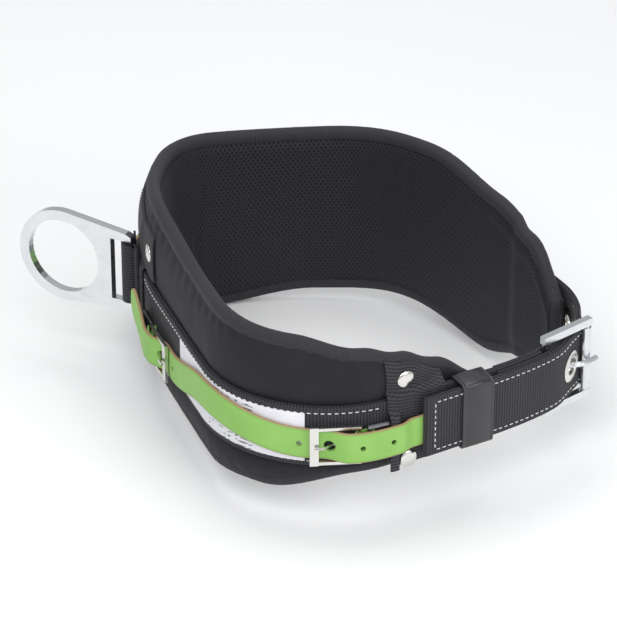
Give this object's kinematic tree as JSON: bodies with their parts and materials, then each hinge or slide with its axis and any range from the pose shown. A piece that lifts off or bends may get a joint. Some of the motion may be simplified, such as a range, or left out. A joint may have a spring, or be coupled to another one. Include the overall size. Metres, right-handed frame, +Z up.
{
  "type": "tree climbing saddle",
  "caption": "Padded waist saddle: buckled webbing belt over a contoured pad, hanging ring at the back and leather accessory straps with small buckles.",
  "frame": {"origin": "on the ground plane, below the middle of the bounding box", "axes": "+Z up; -Y towards the main buckle; +Y the way the hanging ring points; -X the wearer's right"},
  "size_m": [0.32, 0.4243, 0.156],
  "materials": {
    "cover_fabric": "smooth woven synthetic",
    "foam": "closed-cell foam, hidden",
    "spacer_mesh": "open 3-D spacer mesh",
    "binding_tape": "ribbed grosgrain tape",
    "black_webbing": "woven webbing with cross ribs",
    "nickel_steel": "nickel plated, polished",
    "dark_steel": "plain steel rod, satin",
    "zinc_steel": "bright zinc plated",
    "black_leather": "smooth, semi-gloss",
    "green_leather": "dyed one side, tan edges",
    "label_fabric": "smooth coated label"
  },
  "bodies": {
    "saddle": {"pad_outer_cover": "cover_fabric", "pad_foam_core": "foam", "pad_mesh_lining": "spacer_mesh", "binding_top": "binding_tape", "binding_bottom": "binding_tape", "binding_end_left": "binding_tape", "binding_end_right": "binding_tape", "ring_patch": "black_webbing", "ring_shoulder_left": "black_webbing", "ring_shoulder_right": "black_webbing", "front_loop_left": "black_webbing", "front_loop_right": "black_webbing", "rivet_ring_left": "nickel_steel", "rivet_ring_right": "nickel_steel", "rivet_loop_left_top": "nickel_steel", "rivet_loop_left_low": "nickel_steel", "rivet_loop_right_top": "nickel_steel", "rivet_loop_right_low": "nickel_steel", "main_belt": "black_webbing", "eyelet_1": "nickel_steel", "eyelet_2": "nickel_steel", "eyelet_3": "nickel_steel", "eyelet_4": "nickel_steel", "buckle_chape": "black_webbing", "buckle_frame": "zinc_steel", "label": "label_fabric", "link_tab_left": "black_webbing", "link_tab_right": "black_webbing", "strap_left": "green_leather", "link_left_rear": "dark_steel", "chape_left_rear": "green_leather", "small_frame_left_rear": "zinc_steel", "link_left_front": "dark_steel", "chape_left_front": "green_leather", "small_frame_left_front": "zinc_steel", "strap_right": "green_leather", "link_right_rear": "dark_steel", "chape_right_rear": "green_leather", "small_frame_right_rear": "zinc_steel", "link_right_front": "dark_steel", "chape_right_front": "green_leather", "small_frame_right_front": "zinc_steel"},
    "ring": {"hanging_ring": "zinc_steel"},
    "roller": {"buckle_roller": "zinc_steel"},
    "prong": {"buckle_prong": "zinc_steel"},
    "keeper_loop": {"keeper": "black_leather"},
    "small_prong_left_rear": {"small_prong_left_rear": "zinc_steel"},
    "small_prong_left_front": {"small_prong_left_front": "zinc_steel"},
    "small_prong_right_rear": {"small_prong_right_rear": "zinc_steel"},
    "small_prong_right_front": {"small_prong_right_front": "zinc_steel"}
  },
  "joints": [
    {"name": "ring_swing", "type": "hinge", "parent": "saddle", "child": "ring", "pos_m": [-0.02783, 0.1234, 0.074], "axis": [0, 0, 1], "range_deg": [-28, 90]},
    {"name": "roller_turn", "type": "hinge", "parent": "saddle", "child": "roller", "pos_m": [0.02642, -0.20293, 0.074], "axis": [0, 0, 1], "continuous": true},
    {"name": "prong_lift", "type": "hinge", "parent": "saddle", "child": "prong", "pos_m": [-0.00856, -0.18808, 0.074], "axis": [0, 0, -1], "range_deg": [0, 6]},
    {"name": "keeper_slide", "type": "slide", "parent": "saddle", "child": "keeper_loop", "axis": [0.829, -0.5592, 0], "range_m": [-0.007, 0.007]},
    {"name": "small_prong_lift_left_rear", "type": "hinge", "parent": "saddle", "child": "small_prong_left_rear", "pos_m": [0.03492, 0.14802, 0.064], "axis": [0, 0, 1], "range_deg": [0, 2]},
    {"name": "small_prong_lift_left_front", "type": "hinge", "parent": "saddle", "child": "small_prong_left_front", "pos_m": [0.15346, -0.01616, 0.0706], "axis": [0, 0, -1], "range_deg": [0, 2]},
    {"name": "small_prong_lift_right_rear", "type": "hinge", "parent": "saddle", "child": "small_prong_right_rear", "pos_m": [-0.0776, 0.07844, 0.064], "axis": [0, 0, -1], "range_deg": [0, 2]},
    {"name": "small_prong_lift_right_front", "type": "hinge", "parent": "saddle", "child": "small_prong_right_front", "pos_m": [-0.13914, -0.1122, 0.0706], "axis": [0, 0, 1], "range_deg": [0, 2]}
  ]
}
